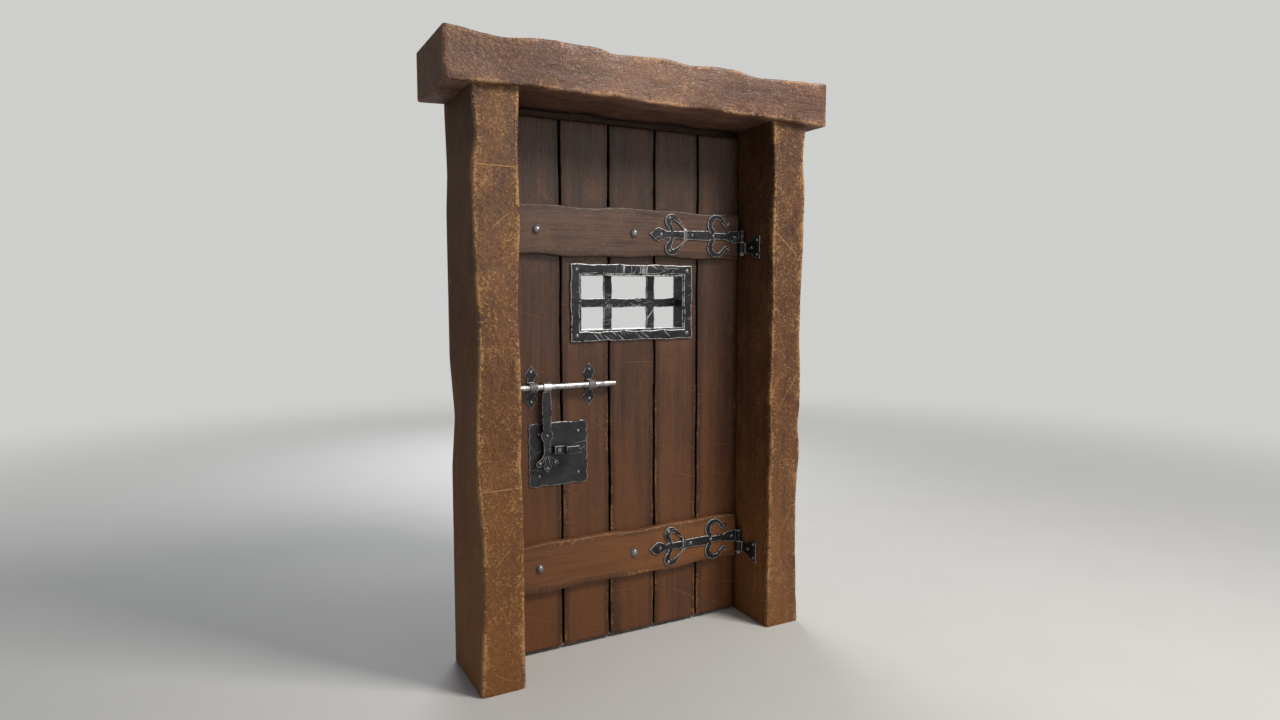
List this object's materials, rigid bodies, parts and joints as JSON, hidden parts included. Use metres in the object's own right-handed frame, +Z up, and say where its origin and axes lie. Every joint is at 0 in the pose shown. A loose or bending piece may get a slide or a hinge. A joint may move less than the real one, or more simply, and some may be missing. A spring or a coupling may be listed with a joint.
{
  "type": "plank door with frame",
  "caption": "Ledged plank door with a small barred window, forged strap hinges, a sliding bolt with hasp and turn button, hung in a hewn post and lintel timber frame.",
  "frame": {"origin": "middle of the frame's footprint box, on the floor under the posts", "axes": "X along the lintel towards the hinge post, Y from the front of the frame through the leaf to the back, Z up"},
  "size_m": [1.582, 0.373, 2.275],
  "materials": {
    "frame_timber": "hewn and worn, oiled, scratched",
    "stop_wood": "planed, darkened",
    "plank_wood": "sawn, weathered grain",
    "batten_wood": "sawn, worn edges",
    "forged_iron": "forged, scratched, brightened edges",
    "bright_steel": "worn bright by use"
  },
  "bodies": {
    "frame": {"left_post": "frame_timber", "right_post": "frame_timber", "lintel": "frame_timber", "left_stop": "stop_wood", "right_stop": "stop_wood", "head_stop": "stop_wood", "stop_nails": "forged_iron", "bolt_keeper": "forged_iron", "keeper_nails": "forged_iron", "upper_pintle": "forged_iron", "lower_pintle": "forged_iron", "pintle_nails": "forged_iron", "hinge_pins": "forged_iron"},
    "leaf": {"plank_1": "plank_wood", "plank_2": "plank_wood", "plank_3_top": "plank_wood", "plank_3_foot": "plank_wood", "plank_4": "plank_wood", "plank_5": "plank_wood", "upper_batten": "batten_wood", "lower_batten": "batten_wood", "batten_bolts": "forged_iron", "bolt_roves": "forged_iron", "plank_nails": "forged_iron", "upper_strap": "forged_iron", "lower_strap": "forged_iron", "strap_nails": "forged_iron", "window_frame": "forged_iron", "window_sleeve": "forged_iron", "window_grille": "forged_iron", "window_back": "forged_iron", "window_rivets": "forged_iron", "left_staple": "forged_iron", "right_staple": "forged_iron", "staple_nails": "forged_iron", "lock_plate": "forged_iron", "plate_nails": "forged_iron", "button_pivot": "forged_iron"},
    "bolt": {"bolt_rod": "bright_steel"},
    "hasp": {"hasp": "forged_iron", "hasp_rivets": "forged_iron"},
    "button": {"turn_button": "forged_iron"}
  },
  "joints": [
    {"name": "leaf_swing", "type": "hinge", "parent": "frame", "child": "leaf", "pos_m": [0.53, 0.0335, 0], "axis": [0, 0, 1], "range_deg": [0, 90]},
    {"name": "bolt_slide", "type": "slide", "parent": "leaf", "child": "bolt", "axis": [-1, 0, 0], "range_m": [0, 0.02]},
    {"name": "hasp_lift", "type": "hinge", "parent": "bolt", "child": "hasp", "pos_m": [-0.36207, 0.0465, 1.0607], "axis": [-1, 0, 0], "range_deg": [0, 100]},
    {"name": "button_turn", "type": "hinge", "parent": "leaf", "child": "button", "pos_m": [-0.31007, 0.0685, 0.8137], "axis": [0, -1, 0], "range_deg": [0, 180]}
  ]
}
